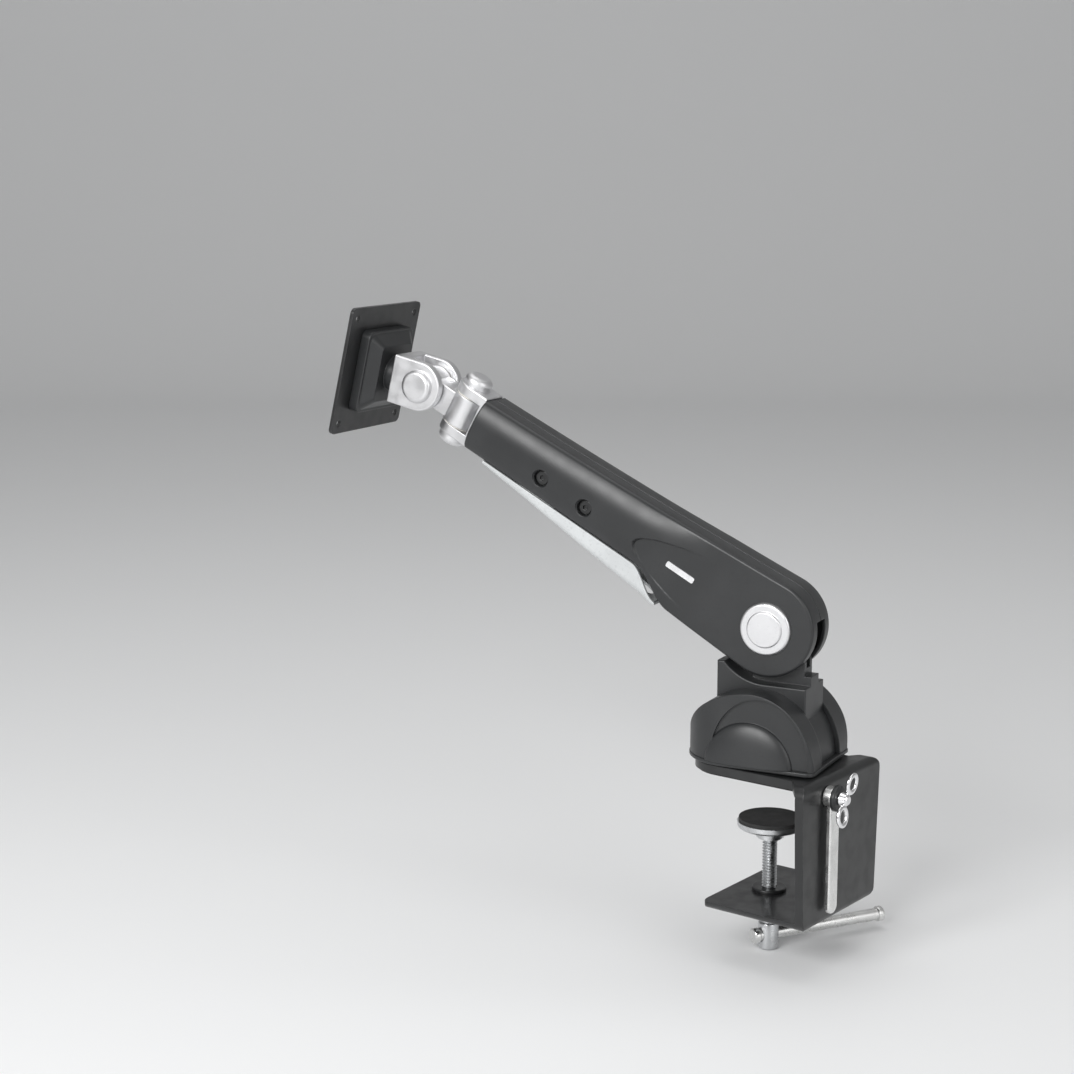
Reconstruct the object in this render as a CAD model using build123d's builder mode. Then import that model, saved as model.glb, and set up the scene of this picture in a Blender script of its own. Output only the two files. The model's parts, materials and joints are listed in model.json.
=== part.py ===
from build123d import *

import math
import os

os.makedirs("parts", exist_ok=True)

# A monitor arm that clamps to a desk edge. Millimetres, +Z up.
# Origin: on the pan axis, on the desk's top surface, which the top jaw pad rests on.
# +X points inward over the desk and +Y to the arm's left side.

EDGE = 1  # radius of the softened edges
RUNNING = 0.05  # radial clearance of a running fit

# Rest pose
PAN_DEG = 10.5  # turret turned from square to the clamp
LIFT_DEG = 28.7  # arm above level
FACE_UP_DEG = 13.3  # face plate's axis above level

# Clamp
PAD_THICK = 1.5
PLATE_THICK = 6
CLAMP_BACK = -53.5  # outer face of the back plate
CLAMP_BOTTOM = -89.5  # underside of the lower jaw
TOP_HALF_WIDTH = 50
BOTTOM_HALF_WIDTH = 46
PLATE_CORNER = 8
BEND_RADIUS = 5
TOP_JAW_REACH = 48
TOP_JAW_HALF = 37
TOP_JAW_CORNER = 26
TOP_JAW_NECK = -38  # where it starts to widen toward the bend
LOWER_JAW_REACH = 24
LOWER_JAW_CORNER = 12
CLAMP_TOP = PAD_THICK + PLATE_THICK
JAW_TOP = CLAMP_BOTTOM + PLATE_THICK
DESK_THICK = 33  # gap between the pads at rest

# Clamp screw and its bar
SCREW_RADIUS = 5
SCREW_END = -124
HEAD_RADIUS = 7
HEAD_HEIGHT = 18
BAR_RADIUS = 4.2
BAR_HEIGHT = -114.5
BAR_NEAR = 7.4  # inner face of the near cap, from the screw's axis
BAR_FAR = -86  # inner face of the far cap
BAR_CAP = 5
BAR_TURN_DEG = 27  # bar's direction from -Y toward -X

# Cable strap on the back plate
STRAP_Y = 19
STRAP_Z = -4
STRAP_LENGTH = 72
STRAP_WIDTH = 11
STRAP_THICK = 3
STRAP_BOSS = 7.2

# Turret
WASHER_THICK = 0.8
BASE_BOTTOM = CLAMP_TOP + WASHER_THICK + 0.05
BASE_TOP = 11.3
BASE_FRONT = 55  # toward the arm, from the pan axis
BASE_REAR = -41.7
BASE_HALF_WIDTH = 37
BASE_CORNER = 34  # toward the arm
BASE_REAR_CORNER = 6
SPINDLE_RADIUS = 8
NUT_TOP = 27
CHEEK_INNER = 17.3
CHEEK_OUTER = 36.5
CHEEK_HEIGHT = 47.2
CHEEK_MIDDLE = 1.5  # its highest place along the arm
CHEEK_FRONT = 53.5  # its length in front of the middle
CHEEK_REAR = 42.6
CHEEK_RIM = 3
CHEEK_RECESS = 2.4
RECESS_MIDDLE = -4
RECESS_LENGTH = 34
DOME_RADIUS = 30.5
DOME_DEPTH = 7  # from the recess's floor
DOME_MIDDLE = 3.5
DOME_SINK = 2.5  # its centre below the base's top
YOKE_HALF = 17

# Lift pivot
PIVOT_HEIGHT = 98
SADDLE_RADIUS = 37
TONGUE_HALF = 7
TONGUE_SLOT = 3.4
LUG_RADIUS = 17
PIVOT_RADIUS = 5
BUSH_RADIUS = 8
CRANK_RADIUS = 15
CRANK_PIN_RADIUS = 2.8
LIFT_MIDDLE_DEG = 15  # middle of the lift's travel, from rest
LIFT_SWING_DEG = 30  # half of the lift's travel

# Arm casing
ARM_REACH = 264  # lift pivot to swivel axis
CASING_END = 247.5
CASING_HALF = 16
CASING_WALL = 2.5
REAR_RADIUS = 32.3
SPAR_INNER = 8.2
SPAR_OUTER = 11
RIM_SLOT_START = -78  # degrees, the slot for the yoke's tongue
RIM_SLOT_SWEEP = 140
WELL_XS = (148, 185)
WELL_Z = -1.5

# Gas spring, inside the arm
GAS_TILT_DEG = 5.5  # its axis above the arm's own axis
GAS_RADIUS = 7
GAS_ROD_RADIUS = 3
GAS_START = 60
GAS_END = 196

# Head
SWIVEL_RISE = 2.7
HEAD_REACH = 33  # swivel axis to tilt axis
EAR_GAP = 12  # half the gap between the fork's ears
EAR_TOP = 19
FORK_RADIUS = 11.75
PIN_RADIUS = 4.5
BARREL_RADIUS = 12.5
CLEVIS_GAP = 10.5
CLEVIS_HALF = 17
CLEVIS_FLAT = 22
FACE_OFFSET = 44  # tilt axis to the back of the face plate

# Face plate
FACE_SIZE = 90
FACE_THICK = 2.5
VESA_PITCH = 75
VESA_HOLE_RADIUS = 2.5

# Frames. Each piece is modelled in the frame of its own group and then placed.
heading = Vector(math.cos(math.radians(PAN_DEG)), math.sin(math.radians(PAN_DEG)), 0)
upward = Vector(0, 0, 1)


def leaning(origin, elevation_deg):
    """A frame whose x runs outward at this elevation and whose y is level."""
    rise = math.radians(elevation_deg)
    along = heading * math.cos(rise) + upward * math.sin(rise)
    normal = upward * math.cos(rise) - heading * math.sin(rise)
    return Plane(origin=origin, x_dir=along, z_dir=normal)


pan_frame = Plane(origin=(0, 0, 0), x_dir=heading, z_dir=upward)
arm_frame = leaning((0, 0, PIVOT_HEIGHT), LIFT_DEG)
swivel_frame = leaning(arm_frame.from_local_coords((ARM_REACH, 0, SWIVEL_RISE)), LIFT_DEG)
tilt_frame = leaning(swivel_frame.from_local_coords((HEAD_REACH, 0, 0)), FACE_UP_DEG)
strap_plane = Plane(origin=(0, STRAP_Y, STRAP_Z), x_dir=(0, -1, 0), z_dir=(-1, 0, 0))
bar_turn = math.radians(BAR_TURN_DEG)
bar_plane = Plane(
    origin=(0, 0, BAR_HEIGHT),
    x_dir=(0, 0, 1),
    z_dir=(math.sin(bar_turn), math.cos(bar_turn), 0),
)


def across(x, z=0):
    """A plane at this spot of a side view, facing +Y."""
    return Plane(origin=(x, 0, z), x_dir=(1, 0, 0), z_dir=(0, 1, 0))


def finish(piece, label, frame=Plane.XY):
    """Places a finished piece by its frame, names it and writes its STEP."""
    piece.part = piece.part.moved(frame.location)
    piece.part.label = label
    export_step(piece.part, f"parts/{label}.step")


def post(plane, start, end, radius, bore=0, mode=Mode.ADD):
    """A round post, or a ring when it has a bore, between two offsets of a plane."""
    with BuildSketch(plane.offset(start)) as section:
        Circle(radius)
        if bore:
            Circle(bore, mode=Mode.SUBTRACT)
    extrude(section.sketch, amount=end - start, mode=mode)


# Clamp -------------------------------------------------------------------

with BuildPart() as clamp_frame:
    # The top plate narrows from the bend to a round-cornered tongue over the desk.
    with BuildSketch(Plane.XY.offset(PAD_THICK)) as top_plan:
        with BuildLine():
            Polyline(
                (TOP_JAW_REACH, -TOP_JAW_HALF),
                (TOP_JAW_REACH, TOP_JAW_HALF),
                (TOP_JAW_NECK, TOP_JAW_HALF),
                (CLAMP_BACK + PLATE_THICK, TOP_HALF_WIDTH),
                (CLAMP_BACK, TOP_HALF_WIDTH),
                (CLAMP_BACK, -TOP_HALF_WIDTH),
                (CLAMP_BACK + PLATE_THICK, -TOP_HALF_WIDTH),
                (TOP_JAW_NECK, -TOP_JAW_HALF),
                close=True,
            )
        make_face()
        fillet(top_plan.vertices().group_by(Axis.X)[-1], TOP_JAW_CORNER)
    extrude(amount=PLATE_THICK)
    with BuildSketch(Plane.XY.offset(CLAMP_BOTTOM)) as jaw_plan:
        with Locations(((CLAMP_BACK + LOWER_JAW_REACH) / 2, 0)):
            Rectangle(LOWER_JAW_REACH - CLAMP_BACK, 2 * TOP_HALF_WIDTH)
        fillet(jaw_plan.vertices().group_by(Axis.X)[-1], LOWER_JAW_CORNER)
    extrude(amount=PLATE_THICK)
    with BuildSketch(Plane.YZ.offset(CLAMP_BACK)):
        with Locations((0, (CLAMP_TOP + CLAMP_BOTTOM) / 2)):
            Rectangle(2 * TOP_HALF_WIDTH, CLAMP_TOP - CLAMP_BOTTOM)
    extrude(amount=PLATE_THICK)
    fillet(clamp_frame.edges().filter_by(Axis.Y).group_by(Axis.X)[0], BEND_RADIUS)
    with BuildSketch(Plane.YZ.offset(CLAMP_BACK - 1)) as front_outline:
        with BuildLine():
            Polyline(
                (-TOP_HALF_WIDTH, CLAMP_TOP),
                (TOP_HALF_WIDTH, CLAMP_TOP),
                (BOTTOM_HALF_WIDTH, CLAMP_BOTTOM),
                (-BOTTOM_HALF_WIDTH, CLAMP_BOTTOM),
                close=True,
            )
        make_face()
        fillet(front_outline.vertices(), PLATE_CORNER)
    extrude(amount=120, mode=Mode.INTERSECT)
    post(Plane.XY, 0, 10, SPINDLE_RADIUS + 0.1, mode=Mode.SUBTRACT)
    post(Plane.XY, PAD_THICK, 4.6, 12.2, mode=Mode.SUBTRACT)
    post(Plane.XY, CLAMP_BOTTOM, JAW_TOP, 9, mode=Mode.SUBTRACT)
    post(strap_plane, 40, 60, 3.1, mode=Mode.SUBTRACT)
    for group in (-1, 0):
        rims = clamp_frame.edges().group_by(Axis.Z)[group]
        fillet(rims.filter_by(lambda edge: edge.length > 6), EDGE)

with BuildPart() as jaw_bush:
    post(Plane.XY, CLAMP_BOTTOM, JAW_TOP + 0.02, 8.95)
    post(Plane.XY, JAW_TOP + 0.02, JAW_TOP + 2.5, 11.5)
    fillet(jaw_bush.edges().group_by(Axis.Z)[-1], 0.8)
    post(Plane.XY, CLAMP_BOTTOM, JAW_TOP + 3, SCREW_RADIUS + RUNNING, mode=Mode.SUBTRACT)

with BuildPart() as top_jaw_pad:
    with BuildSketch() as pad_plan:
        with Locations(((TOP_JAW_REACH + CLAMP_BACK + PLATE_THICK - 1) / 2, 0)):
            Rectangle(TOP_JAW_REACH - CLAMP_BACK - PLATE_THICK - 3, 2 * TOP_JAW_HALF - 4)
        fillet(pad_plan.vertices().group_by(Axis.X)[-1], TOP_JAW_CORNER - 2)
    extrude(amount=PAD_THICK)

with BuildPart() as pan_spindle:
    post(Plane.XY, PAD_THICK + 0.05, 4.5, 12)
    post(Plane.XY, 4.5, NUT_TOP + 1, SPINDLE_RADIUS)
    chamfer(pan_spindle.edges().group_by(Axis.Z)[-1], 1)

with BuildPart() as pan_friction_washer:
    post(Plane.XY, CLAMP_TOP, CLAMP_TOP + WASHER_THICK, 30, SPINDLE_RADIUS + 0.2)

with BuildPart() as pan_spring_washer:
    post(Plane.XY, 18.2, 19.4, 13.5, SPINDLE_RADIUS + 0.2)

with BuildPart() as pan_lock_nut:
    with BuildSketch(Plane.XY.offset(19.4)):
        RegularPolygon(12, 6, major_radius=False)
        Circle(SPINDLE_RADIUS + 0.02, mode=Mode.SUBTRACT)
    extrude(amount=NUT_TOP - 19.4)

# Pressure foot, screw and bar

PAD_TOP = -DESK_THICK
FOOT_BOTTOM = PAD_TOP - 13

with BuildPart() as pressure_pad:
    post(Plane.XY, PAD_TOP - 2.5, PAD_TOP, 21)

with BuildPart() as pressure_plate:
    post(Plane.XY, PAD_TOP - 7, PAD_TOP - 2.5, 22)
    fillet(pressure_plate.edges().group_by(Axis.Z)[0], 2)
    post(Plane.XY, FOOT_BOTTOM, PAD_TOP - 6, 9.5)
    post(Plane.XY, FOOT_BOTTOM, PAD_TOP - 4, SCREW_RADIUS + RUNNING, mode=Mode.SUBTRACT)

with BuildPart() as foot_retaining_ring:
    post(Plane.XY, FOOT_BOTTOM - 1.3, FOOT_BOTTOM - 0.1, 8, SCREW_RADIUS + 0.01)

with BuildPart() as clamp_screw:
    post(Plane.XY, SCREW_END + HEAD_HEIGHT, PAD_TOP - 4.2, SCREW_RADIUS)
    chamfer(clamp_screw.edges().group_by(Axis.Z)[-1], 0.8)
    post(Plane.XY, SCREW_END, SCREW_END + HEAD_HEIGHT, HEAD_RADIUS)
    fillet(clamp_screw.edges().group_by(Axis.Z)[0], 1.5)
    post(bar_plane, -10, 10, BAR_RADIUS + RUNNING, mode=Mode.SUBTRACT)

BAR_START = BAR_FAR - BAR_CAP + 1.5
BAR_END = BAR_NEAR + BAR_CAP - 1.5

with BuildPart() as tommy_bar:
    post(bar_plane, BAR_START, BAR_END, BAR_RADIUS)

with BuildPart() as tommy_bar_caps:
    for cap_start in (BAR_FAR - BAR_CAP, BAR_NEAR):
        post(bar_plane, cap_start, cap_start + BAR_CAP, 5.2)
    fillet(tommy_bar_caps.edges(), 1.4)
    post(bar_plane, BAR_START, BAR_END, BAR_RADIUS + 0.01, mode=Mode.SUBTRACT)

# Cable strap, in the strap plane: x toward -Y, y up, z away from the back plate.
# Offsets are measured from the pan axis.
STRAP_NEAR = -CLAMP_BACK + 0.7
STRAP_FACE = STRAP_NEAR + 5.5
STRAP_HUB = STRAP_FACE + 3.1

with BuildPart() as cable_strap:
    with BuildSketch(strap_plane.offset(STRAP_FACE - STRAP_THICK)):
        with Locations((0, -STRAP_LENGTH / 2)):
            SlotCenterToCenter(STRAP_LENGTH, STRAP_WIDTH, rotation=90)
        Circle(STRAP_BOSS)
    extrude(amount=STRAP_THICK)
    fillet(cable_strap.edges().group_by(Axis.X)[0], 1.2)
    post(strap_plane, STRAP_NEAR, STRAP_FACE - STRAP_THICK, STRAP_BOSS)
    post(strap_plane, 40, 70, 3 + RUNNING, mode=Mode.SUBTRACT)

with BuildPart() as strap_washer:
    post(strap_plane, STRAP_FACE + 0.1, STRAP_HUB, 8.6, 3.1)
    fillet(strap_washer.edges().group_by(Axis.X)[0].sort_by(SortBy.LENGTH)[-1], 1)

with BuildPart() as strap_wing_screw:
    post(strap_plane, -CLAMP_BACK - PLATE_THICK, STRAP_HUB + 1, 3)
    post(strap_plane, STRAP_HUB + 0.1, STRAP_HUB + 6.5, 4)
    with BuildSketch(strap_plane.offset(STRAP_HUB + 2.6)):
        for side in (-1, 1):
            with Locations((side * 5.8, side * 9.4)):
                Ellipse(6.8, 7.4)
                Ellipse(3.4, 4, mode=Mode.SUBTRACT)
    extrude(amount=3.5)

# Turret, in the pan frame --------------------------------------------------

YOKE_SCREWS = [(x, y) for x in (-23, 23) for y in (-11, 11)]
CHEEK_SCREWS = [(x, y) for x in (-24, 24) for y in (-23, 23)]
TURRET_SCREWS = YOKE_SCREWS + CHEEK_SCREWS
TURRET_SCREW_TOP = BASE_TOP + 9
SCREW_HEAD_RECESS = 1.6


def turret_plan(inset, edge):
    """The turret's outline from above, with rounder corners toward the arm."""
    with BuildSketch(Plane.XY.offset(BASE_BOTTOM)) as plan:
        with Locations(((BASE_FRONT + BASE_REAR) / 2, 0)):
            Rectangle(BASE_FRONT - BASE_REAR - 2 * inset, 2 * edge)
        fillet(plan.vertices().group_by(Axis.X)[-1], BASE_CORNER - inset)
        fillet(plan.vertices().group_by(Axis.X)[0], BASE_REAR_CORNER - inset)
    return plan.sketch


with BuildPart() as turret_base:
    extrude(turret_plan(0, BASE_HALF_WIDTH), amount=BASE_TOP - BASE_BOTTOM)
    chamfer(turret_base.edges().group_by(Axis.Z)[0], 0.6)
    fillet(turret_base.edges().group_by(Axis.Z)[-1], 0.8)
    post(Plane.XY, BASE_TOP - 1, 18.1, 15)
    post(Plane.XY, 0, 20, SPINDLE_RADIUS + RUNNING, mode=Mode.SUBTRACT)
    with BuildSketch(Plane.XY.offset(BASE_BOTTOM)):
        with Locations(TURRET_SCREWS):
            Circle(2.6)
    extrude(amount=10, mode=Mode.SUBTRACT)
    with BuildSketch(Plane.XY.offset(BASE_BOTTOM)):
        with Locations(TURRET_SCREWS):
            Circle(4.6)
    extrude(amount=SCREW_HEAD_RECESS, mode=Mode.SUBTRACT)

with BuildPart() as turret_screws:
    with BuildSketch(Plane.XY.offset(BASE_BOTTOM + 0.2)):
        with Locations(TURRET_SCREWS):
            Circle(4.4)
    extrude(amount=SCREW_HEAD_RECESS - 0.3)
    with BuildSketch(Plane.XY.offset(BASE_BOTTOM + 1)):
        with Locations(TURRET_SCREWS):
            Circle(2.5)
    extrude(amount=TURRET_SCREW_TOP - BASE_BOTTOM - 1)


def screw_pilots():
    """The turret screws' holes in the piece that they hold."""
    with BuildSketch(Plane.XY.offset(BASE_TOP)) as pilots:
        with Locations(TURRET_SCREWS):
            Circle(2.52)
    extrude(pilots.sketch, amount=TURRET_SCREW_TOP - BASE_TOP + 1, mode=Mode.SUBTRACT)


def hump(middle, front, rear, height):
    """Two quarter ellipses back to back on the base, as a face in the XZ plane."""
    with BuildLine() as outline:
        EllipticalCenterArc((middle, BASE_TOP), front, height, arc_size=90)
        EllipticalCenterArc((middle, BASE_TOP), rear, height, start_angle=90, arc_size=90)
        Line((middle - rear, BASE_TOP), (middle + front, BASE_TOP))
    make_face(outline.edges())


DOME_FLOOR = CHEEK_OUTER - CHEEK_RECESS
DOME_ROOT = CHEEK_INNER + 4

with BuildPart() as turret_cheek_left:
    with BuildSketch(Plane.XZ.offset(-CHEEK_OUTER)):
        hump(CHEEK_MIDDLE, CHEEK_FRONT, CHEEK_REAR, CHEEK_HEIGHT)
    extrude(amount=CHEEK_OUTER - CHEEK_INNER)
    # Its ends follow the base's round corners.
    extrude(turret_plan(0.5, CHEEK_OUTER), amount=CHEEK_HEIGHT + 5, mode=Mode.INTERSECT)
    with BuildSketch(Plane.XZ.offset(-CHEEK_OUTER)):
        hump(RECESS_MIDDLE, RECESS_LENGTH, RECESS_LENGTH, CHEEK_HEIGHT - CHEEK_RIM)
    extrude(amount=CHEEK_RECESS, mode=Mode.SUBTRACT)
    # The clam-shell bulge: half of a flattened ball that stands on the base.
    with BuildSketch(Plane.XY.offset(BASE_TOP - DOME_SINK)):
        with BuildLine():
            bulge = EllipticalCenterArc((DOME_MIDDLE, DOME_FLOOR), DOME_RADIUS, DOME_DEPTH, arc_size=90)
            Polyline(bulge @ 1, (DOME_MIDDLE, DOME_ROOT), (DOME_MIDDLE + DOME_RADIUS, DOME_ROOT), bulge @ 0)
        make_face()
    revolve(axis=Axis((DOME_MIDDLE, 0, BASE_TOP - DOME_SINK), (0, 1, 0)), revolution_arc=360)
    split(bisect_by=Plane.XY.offset(BASE_TOP), keep=Keep.TOP)
    screw_pilots()

with BuildPart() as turret_cheek_right:
    add(turret_cheek_left.part)
    mirror(about=Plane.XZ, mode=Mode.REPLACE)

# The crank pin turns about the lift pivot with the yoke. At the middle of the
# lift's travel it stands square to the gas spring's axis.
crank_deg = LIFT_DEG - 90 + GAS_TILT_DEG + LIFT_MIDDLE_DEG
crank_spot = (
    CRANK_RADIUS * math.cos(math.radians(crank_deg)),
    PIVOT_HEIGHT + CRANK_RADIUS * math.sin(math.radians(crank_deg)),
)
pivot_side = across(0, PIVOT_HEIGHT)
crank_side = across(*crank_spot)

YOKE_INNER_X = 33
YOKE_OUTER_X = -28.7
TONGUE_FRONT = 12
TONGUE_REAR = -24
TONGUE_STEP = 67  # top of the block behind the tongue
SHOULDER_TOP = PIVOT_HEIGHT - 24
SADDLE_FLOOR = PIVOT_HEIGHT - SADDLE_RADIUS

with BuildPart() as yoke:
    with BuildSketch(Plane.XZ.offset(-YOKE_HALF)):
        hump(CHEEK_MIDDLE, CHEEK_FRONT - 5, CHEEK_REAR - 3, CHEEK_HEIGHT - 3)
        with BuildLine():
            Polyline(
                (YOKE_OUTER_X, BASE_TOP),
                (YOKE_INNER_X, BASE_TOP),
                (YOKE_INNER_X, SHOULDER_TOP),
                (0, SHOULDER_TOP),
                (0, SADDLE_FLOOR),
                (YOKE_OUTER_X, SADDLE_FLOOR),
                close=True,
            )
        make_face()
        with Locations((0, PIVOT_HEIGHT)):
            Circle(SADDLE_RADIUS, mode=Mode.SUBTRACT)
    extrude(amount=2 * YOKE_HALF)
    with BuildSketch(Plane.XZ.offset(-TONGUE_HALF)):
        with Locations((0, PIVOT_HEIGHT)):
            Circle(LUG_RADIUS)
        with Locations(crank_spot):
            Circle(8)
        with BuildLine():
            Polyline(
                (YOKE_OUTER_X, SADDLE_FLOOR - 10),
                (TONGUE_FRONT, SADDLE_FLOOR - 10),
                (TONGUE_FRONT, SADDLE_FLOOR + 12),
                (crank_spot[0] + 7.6, crank_spot[1] - 2.4),
                (crank_spot[0], PIVOT_HEIGHT),
                (-LUG_RADIUS + 0.5, PIVOT_HEIGHT + 4),
                (TONGUE_REAR, SADDLE_FLOOR + 15),
                (TONGUE_REAR, TONGUE_STEP),
                (YOKE_OUTER_X, TONGUE_STEP),
                close=True,
            )
        make_face()
    extrude(amount=2 * TONGUE_HALF)
    with BuildSketch(Plane.XZ.offset(-TONGUE_SLOT)):
        with Locations((0, PIVOT_HEIGHT)):
            Rectangle(80, 52)
    extrude(amount=2 * TONGUE_SLOT, mode=Mode.SUBTRACT)
    post(pivot_side, -TONGUE_HALF - 1, TONGUE_HALF + 1, BUSH_RADIUS, mode=Mode.SUBTRACT)
    post(crank_side, -TONGUE_HALF - 1, TONGUE_HALF + 1, CRANK_PIN_RADIUS, mode=Mode.SUBTRACT)
    post(Plane.XY, BASE_TOP, 30, 15.6, mode=Mode.SUBTRACT)
    screw_pilots()
    for flank in (yoke.edges().group_by(Axis.Y)[-1], yoke.edges().group_by(Axis.Y)[0]):
        fillet(flank.filter_by_position(Axis.Z, BASE_TOP + 0.1, PIVOT_HEIGHT), EDGE)

with BuildPart() as lift_bushes:
    for side in (-1, 1):
        flange = side * TONGUE_HALF
        post(pivot_side, side * TONGUE_SLOT, flange, BUSH_RADIUS - 0.03, PIVOT_RADIUS + RUNNING)
        post(pivot_side, flange, flange + side * 1.1, 10.5, PIVOT_RADIUS + RUNNING)

with BuildPart() as crank_pin:
    post(crank_side, -TONGUE_HALF, TONGUE_HALF, CRANK_PIN_RADIUS - 0.02)

finish(clamp_frame, "clamp_frame")
finish(jaw_bush, "jaw_bush")
finish(top_jaw_pad, "top_jaw_pad")
finish(pan_spindle, "pan_spindle")
finish(pan_friction_washer, "pan_friction_washer")
finish(pan_spring_washer, "pan_spring_washer")
finish(pan_lock_nut, "pan_lock_nut")
finish(pressure_pad, "pressure_pad")
finish(pressure_plate, "pressure_plate")
finish(foot_retaining_ring, "foot_retaining_ring")
finish(clamp_screw, "clamp_screw")
finish(tommy_bar, "tommy_bar")
finish(tommy_bar_caps, "tommy_bar_caps")
finish(cable_strap, "cable_strap")
finish(strap_washer, "strap_washer")
finish(strap_wing_screw, "strap_wing_screw")
finish(turret_base, "turret_base", pan_frame)
finish(turret_screws, "turret_screws", pan_frame)
finish(turret_cheek_left, "turret_cheek_left", pan_frame)
finish(turret_cheek_right, "turret_cheek_right", pan_frame)
finish(yoke, "yoke", pan_frame)
finish(lift_bushes, "lift_bushes", pan_frame)
finish(crank_pin, "crank_pin", pan_frame)

# Arm, in the arm frame: x along the arm, y to the left, z up from it ---------


def casing_face(inset=0):
    """The casing's side outline, drawn in by the inset, as a face in the XZ plane."""
    end = CASING_END - inset
    with BuildLine() as outline:
        top = ThreePointArc((end, 21 - inset), (100, 26.7 - inset), (2, 32.24 - inset))
        rear = ThreePointArc(top @ 1, (inset - REAR_RADIUS, 0), (1.2, inset - 32.28))
        belly = Line(rear @ 1, (65, inset - 29.9))
        step = Spline(belly @ 1, (100, inset - 15.6), tangents=(belly % 1, (1, 0)))
        under = Line(step @ 1, (end, inset - 16))
        Line(under @ 1, top @ 0)
    make_face(outline.edges())


arm_side = across(0)

with BuildPart() as arm_shell_left:
    with BuildSketch(Plane.XZ.offset(-CASING_HALF)):
        casing_face()
    extrude(amount=CASING_HALF)
    fillet(arm_shell_left.edges().group_by(Axis.Y)[-1], 3.5)
    with BuildSketch(Plane.XZ.offset(-CASING_HALF + CASING_WALL)):
        casing_face(CASING_WALL)
    extrude(amount=CASING_HALF - CASING_WALL, mode=Mode.SUBTRACT)
    # Bosses round the two screws, down to the spar.
    with BuildSketch(Plane.XZ.offset(-CASING_HALF + CASING_WALL)):
        with Locations([(x, WELL_Z) for x in WELL_XS]):
            Circle(7.5)
    extrude(amount=CASING_HALF - CASING_WALL - SPAR_OUTER - 0.05)
    with BuildSketch(Plane.XZ.offset(-CASING_HALF)):
        with Locations([(x, WELL_Z) for x in WELL_XS]):
            Circle(5.5)
    extrude(amount=3.4, mode=Mode.SUBTRACT)
    with BuildSketch(Plane.XZ.offset(-CASING_HALF)):
        with Locations([(x, WELL_Z) for x in WELL_XS]):
            Circle(2.7)
        Circle(12)
    extrude(amount=CASING_HALF - SPAR_OUTER, mode=Mode.SUBTRACT)
    # The end is open for the fork's stem.
    with BuildSketch(Plane.YZ.offset(CASING_END - 10)):
        with Locations((0, SWIVEL_RISE)):
            Rectangle(23.4, 28.4)
    extrude(amount=20, mode=Mode.SUBTRACT)
    # The rim is open behind and below the pivot for the yoke's tongue.
    with BuildSketch(Plane.XZ.offset(-TONGUE_HALF - 0.6)):
        with BuildLine():
            sweep_start = PolarLine((0, 0), 60, angle=RIM_SLOT_START)
            sweep_rim = CenterArc((0, 0), 60, start_angle=RIM_SLOT_START, arc_size=-RIM_SLOT_SWEEP)
            Line(sweep_rim @ 1, (0, 0))
        make_face()
    extrude(amount=TONGUE_HALF + 0.6, mode=Mode.SUBTRACT)

with BuildPart() as arm_shell_right:
    add(arm_shell_left.part)
    mirror(about=Plane.XZ, mode=Mode.REPLACE)

with BuildPart() as shell_screws:
    for well_x in WELL_XS:
        for side in (-1, 1):
            well = across(well_x, WELL_Z)
            post(well, side * 12.65, side * 15, 4.5)
            post(well, side * 8.4, side * 12.65, 2.5)
            with BuildSketch(well.offset(side * 13.4)):
                RegularPolygon(2, 6)
            extrude(amount=side * 2, mode=Mode.SUBTRACT)

with BuildPart() as arm_spar:
    with BuildSketch(Plane.XZ.offset(-SPAR_OUTER)) as spar_side:
        Circle(19)
        with BuildLine():
            Polyline(
                (-3, 18.7),
                (100, 20),
                (236, 15.5),
                (236, -10.5),
                (100, -10.5),
                (60, -18),
                (3, -18.7),
                close=True,
            )
        make_face()
        Circle(PIVOT_RADIUS + 0.02, mode=Mode.SUBTRACT)
        with Locations([(x, WELL_Z) for x in WELL_XS]):
            Circle(2.52, mode=Mode.SUBTRACT)
    extrude(amount=2 * SPAR_OUTER)
    with BuildSketch(Plane.XZ.offset(-SPAR_INNER)):
        with Locations((90, 0)):
            Rectangle(264, 60)
    extrude(amount=2 * SPAR_INNER, mode=Mode.SUBTRACT)
    with BuildSketch(Plane.YZ.offset(220)):
        with Locations((-6.5, SWIVEL_RISE), (6.5, SWIVEL_RISE)):
            Circle(2.52)
    extrude(amount=20, mode=Mode.SUBTRACT)

with BuildPart() as lift_pivot_bolt:
    post(arm_side, -14.8, 11.05, PIVOT_RADIUS)
    post(arm_side, 11.05, 14.8, 8.5)
    with BuildSketch(arm_side.offset(14.8)):
        RegularPolygon(4, 6)
    extrude(amount=-2.5, mode=Mode.SUBTRACT)

with BuildPart() as lift_pivot_nut:
    with BuildSketch(arm_side.offset(-11.05)):
        RegularPolygon(8.5, 6, major_radius=False)
        Circle(PIVOT_RADIUS + 0.02, mode=Mode.SUBTRACT)
    extrude(amount=-3.7)

with BuildPart() as pivot_cap_left:
    post(arm_side, 14.9, CASING_HALF, 11.9)
    post(arm_side, CASING_HALF, CASING_HALF + 2.6, 17.3)
    fillet(pivot_cap_left.edges().group_by(Axis.Y)[-1], 1.8)
    post(arm_side, CASING_HALF + 2.6, CASING_HALF + 4.2, 12)
    fillet(pivot_cap_left.edges().group_by(Axis.Y)[-1], 1.2)

with BuildPart() as pivot_cap_right:
    add(pivot_cap_left.part)
    mirror(about=Plane.XZ, mode=Mode.REPLACE)

with BuildPart() as badge:
    with BuildSketch(arm_side.offset(CASING_HALF)):
        with Locations(arm_side.to_local_coords(Vector(68.5, 0, -1))):
            RectangleRounded(22, 4, 1)
    extrude(amount=0.6)

# Cable cover: a channel under the arm that fills the step in the casing's belly.
COVER_HALF = 14

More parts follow.
